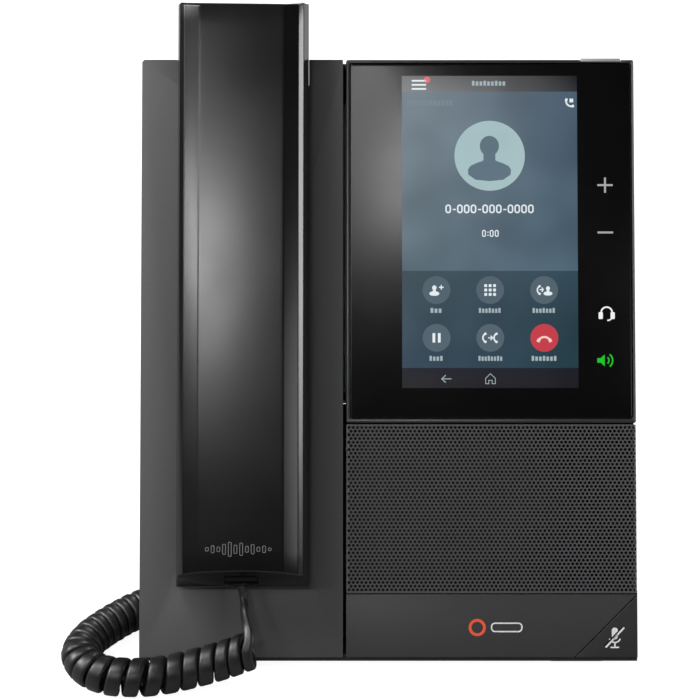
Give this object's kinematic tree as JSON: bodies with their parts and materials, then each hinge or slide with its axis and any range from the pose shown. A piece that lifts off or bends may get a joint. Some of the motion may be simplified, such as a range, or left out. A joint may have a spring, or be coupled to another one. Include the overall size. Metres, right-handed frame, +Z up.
{
  "type": "desk ip phone",
  "caption": "Desk IP phone: tilted slab with a touch screen and perforated speaker panel, a corded handset in its cradle, a curly cord and a rear desk stand.",
  "frame": {"origin": "on the desk, under the middle of the phone without its cord", "axes": "+X to the right as the user sees the phone, +Y away from the user, +Z up"},
  "size_m": [0.2007, 0.1569, 0.2038],
  "materials": {
    "face_plastic": "fine moulded texture, satin",
    "rear_plastic": "moulded texture, matt",
    "handset_plastic": "satin black",
    "glass_black": "black printed cover glass, polished",
    "display": "lit colour display",
    "grille": "perforated, fine matt paint",
    "acoustic_cloth": "woven black cloth",
    "light_pipe": "translucent",
    "rubber": "matt",
    "cord_rubber": "satin",
    "clear_plastic": "clear moulded plug",
    "socket_plastic": "moulded",
    "circuit_board": "solder resist",
    "steel": "plated"
  },
  "bodies": {
    "base": {"rear_cover": "rear_plastic", "cradle_cover": "face_plastic", "handset_tab": "face_plastic", "screen_frame": "face_plastic", "cover_glass": "glass_black", "touch_display": "display", "display_plate": "steel", "message_light": "light_pipe", "speaker_grille": "grille", "lower_trim": "face_plastic", "speaker_cloth": "acoustic_cloth", "speaker_baffle": "rear_plastic", "speaker_basket": "steel", "speaker_cone": "acoustic_cloth", "speaker_magnet": "steel", "hook_switch": "socket_plastic", "main_board": "circuit_board", "shield_can": "steel", "usb_a_socket": "steel", "lan_socket": "socket_plastic", "pc_socket": "socket_plastic", "power_socket": "socket_plastic", "usb_c_socket": "steel", "handset_socket": "socket_plastic", "headset_socket": "socket_plastic", "key_board": "circuit_board", "mute_switch": "socket_plastic", "desk_microphone": "rubber", "cover_screw_1": "steel", "cover_screw_2": "steel", "cover_screw_3": "steel", "cover_screw_4": "steel", "cover_screw_5": "steel", "cover_screw_6": "steel", "cover_screw_7": "steel", "cover_screw_8": "steel", "cover_screw_9": "steel", "desk_stand": "rear_plastic", "front_foot_left": "rubber", "front_foot_right": "rubber", "stand_foot_left": "rubber", "stand_foot_right": "rubber", "cord_coil_front": "cord_rubber", "cord_coil_rear": "cord_rubber", "cord_tail_base": "cord_rubber", "cord_plug_base": "clear_plastic"},
    "handset": {"handset_front": "handset_plastic", "handset_back": "handset_plastic", "receiver_gasket": "rubber", "ear_receiver": "steel", "handset_microphone": "rubber", "handset_board": "circuit_board", "handset_weight": "steel", "handset_jack": "socket_plastic", "handset_screw_1": "steel", "handset_screw_2": "steel", "cord_plug_handset": "clear_plastic", "cord_tail_handset": "cord_rubber"},
    "mute_key": {"mute_key": "face_plastic"},
    "hook_plunger": {"hook_plunger": "face_plastic"}
  },
  "joints": [
    {"name": "handset_lift", "type": "slide", "parent": "base", "child": "handset", "axis": [0, -0.829, 0.5592], "range_m": [0, 0.06]},
    {"name": "mute_key_press", "type": "slide", "parent": "base", "child": "mute_key", "axis": [0, 0.829, -0.5592], "range_m": [0, 0.0008], "stiffness_N_per_m": 1200, "springref_m": -0.0004},
    {"name": "hook_plunger_rise", "type": "slide", "parent": "base", "child": "hook_plunger", "axis": [0, -0.829, 0.5592], "range_m": [0, 0.0024]}
  ],
  "couplings": [
    {"joint": "hook_plunger_rise", "follows": "handset_lift", "ratio": 0.04}
  ]
}
